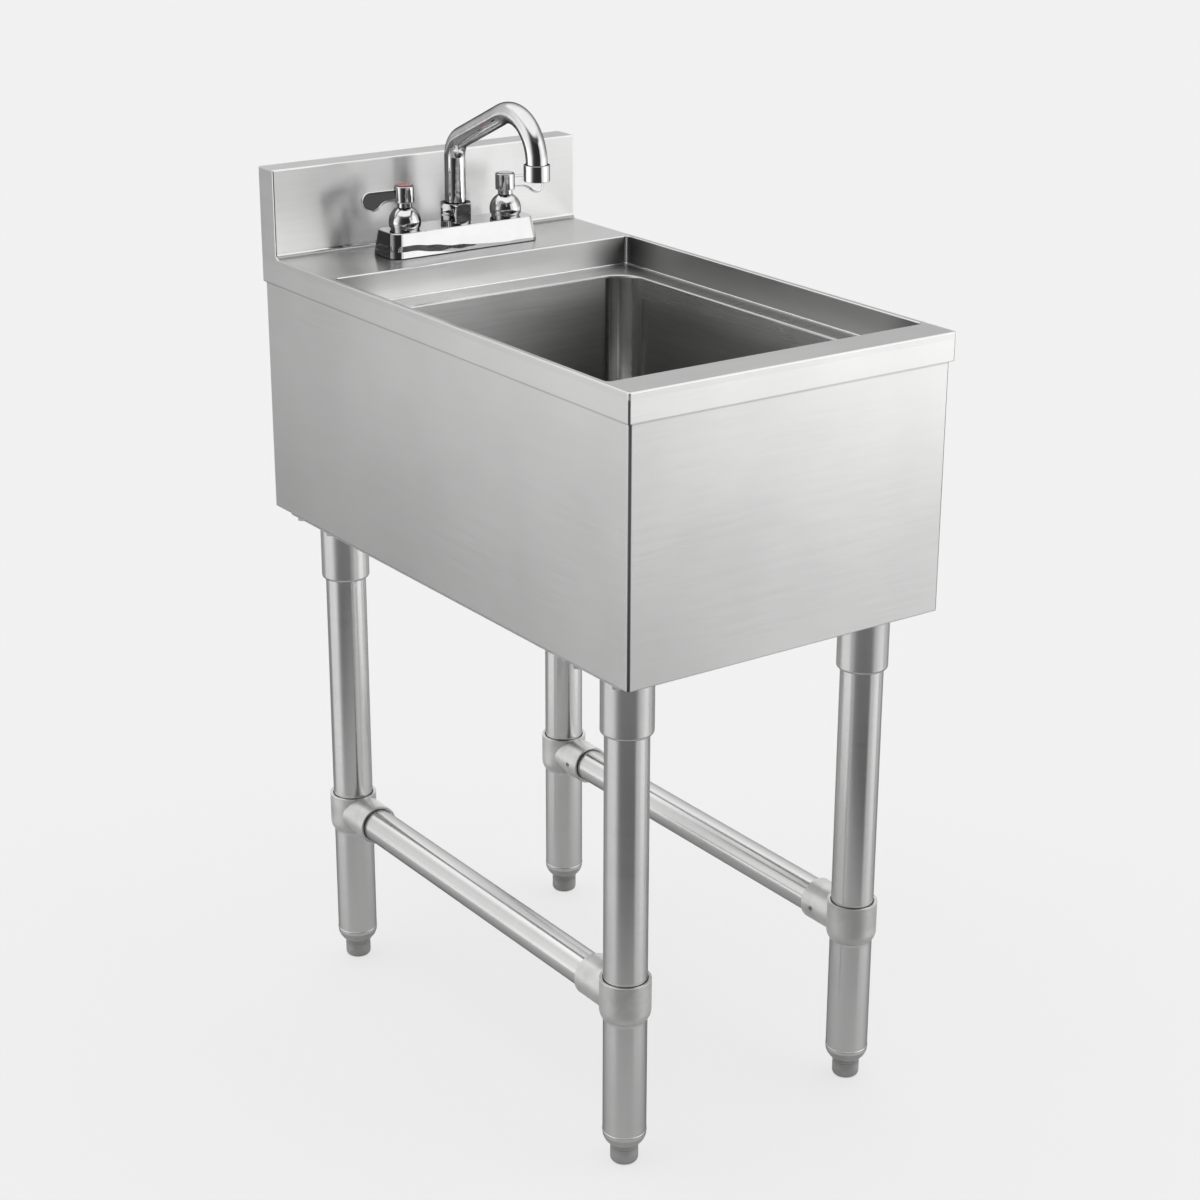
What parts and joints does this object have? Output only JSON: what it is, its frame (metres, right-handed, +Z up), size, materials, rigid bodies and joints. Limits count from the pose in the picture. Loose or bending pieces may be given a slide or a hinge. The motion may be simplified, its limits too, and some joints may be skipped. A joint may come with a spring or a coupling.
{
  "type": "underbar hand sink",
  "caption": "Free-standing narrow steel hand sink with a deep bowl, a short splashback, a deck faucet with a swivel spout and lever handles, and tube legs with screw feet.",
  "frame": {"origin": "on the floor, under the middle of the sink's outline", "axes": "+X to the right seen from the front, +Y to the splashback, +Z up"},
  "size_m": [0.3048, 0.5334, 0.7873],
  "materials": {
    "stainless_sheet": "brushed sheet, fine straight grain",
    "stainless_tube": "polished welded tube, grain along its length",
    "stainless_socket": "turned and brushed",
    "cast_tee": "satin casting",
    "galvanised_sheet": "galvanised, dull",
    "zinc_fastener": "zinc plated",
    "stainless_drain": "polished",
    "chrome": "polished chrome plate",
    "brass": "turned, dull",
    "black_rubber": "matt",
    "grey_plastic": "moulded, satin",
    "aerator_plastic": "moulded",
    "hot_button": "plain red",
    "cold_button": "plain grey"
  },
  "bodies": {
    "sink": {"apron": "stainless_sheet", "bowl": "stainless_sheet", "channel_bolts": "zinc_fastener", "channel_left": "galvanised_sheet", "channel_nuts": "zinc_fastener", "channel_right": "galvanised_sheet", "cold_bonnet": "chrome", "cold_cartridge": "brass", "drain_body": "stainless_drain", "drain_gasket": "black_rubber", "drain_locknut": "brass", "faucet_body": "chrome", "faucet_gasket": "black_rubber", "foot_insert_front_left": "grey_plastic", "foot_insert_front_right": "grey_plastic", "foot_insert_rear_left": "grey_plastic", "foot_insert_rear_right": "grey_plastic", "hot_bonnet": "chrome", "hot_cartridge": "brass", "leg_front_left": "stainless_tube", "leg_front_right": "stainless_tube", "leg_rear_left": "stainless_tube", "leg_rear_right": "stainless_tube", "rail_left": "stainless_tube", "rail_right": "stainless_tube", "rear_brace": "galvanised_sheet", "shank_locknuts": "brass", "shank_washers": "zinc_fastener", "sink_top": "stainless_sheet", "slip_nut": "brass", "slip_washer": "black_rubber", "socket_front_left": "stainless_socket", "socket_front_right": "stainless_socket", "socket_rear_left": "stainless_socket", "socket_rear_right": "stainless_socket", "socket_set_screws": "zinc_fastener", "spout_nut": "chrome", "spout_o_rings": "black_rubber", "tailpiece": "brass", "tee_front_left": "cast_tee", "tee_front_right": "cast_tee", "tee_rear_left": "cast_tee", "tee_rear_right": "cast_tee", "tee_set_screws": "zinc_fastener"},
    "spout": {"spout": "chrome", "aerator_housing": "chrome", "aerator_insert": "aerator_plastic"},
    "strainer": {"drain_strainer": "stainless_drain"},
    "hot_handle": {"hot_lever": "chrome", "hot_stem": "brass", "hot_handle_screw": "zinc_fastener", "hot_index": "hot_button"},
    "cold_handle": {"cold_lever": "chrome", "cold_stem": "brass", "cold_handle_screw": "zinc_fastener", "cold_index": "cold_button"},
    "foot_front_left": {"foot_front_left": "grey_plastic"},
    "foot_front_right": {"foot_front_right": "grey_plastic"},
    "foot_rear_left": {"foot_rear_left": "grey_plastic"},
    "foot_rear_right": {"foot_rear_right": "grey_plastic"}
  },
  "joints": [
    {"name": "hot_handle_turn", "type": "hinge", "parent": "sink", "child": "hot_handle", "pos_m": [-0.0508, 0.199, 0.7], "axis": [0, 0, 1], "range_deg": [0, 90]},
    {"name": "cold_handle_turn", "type": "hinge", "parent": "sink", "child": "cold_handle", "pos_m": [0.0508, 0.199, 0.7], "axis": [0, 0, -1], "range_deg": [0, 90]},
    {"name": "spout_swivel", "type": "hinge", "parent": "sink", "child": "spout", "pos_m": [0, 0.199, 0.7], "axis": [0, 0, 1], "range_deg": [-90, 90]},
    {"name": "strainer_lift", "type": "slide", "parent": "sink", "child": "strainer", "axis": [0, 0, 1], "range_m": [0, 0.1]},
    {"name": "foot_front_left_screw", "type": "slide", "parent": "sink", "child": "foot_front_left", "axis": [0, 0, -1], "range_m": [0, 0.025]},
    {"name": "foot_front_right_screw", "type": "slide", "parent": "sink", "child": "foot_front_right", "axis": [0, 0, -1], "range_m": [0, 0.025]},
    {"name": "foot_rear_left_screw", "type": "slide", "parent": "sink", "child": "foot_rear_left", "axis": [0, 0, -1], "range_m": [0, 0.025]},
    {"name": "foot_rear_right_screw", "type": "slide", "parent": "sink", "child": "foot_rear_right", "axis": [0, 0, -1], "range_m": [0, 0.025]}
  ]
}
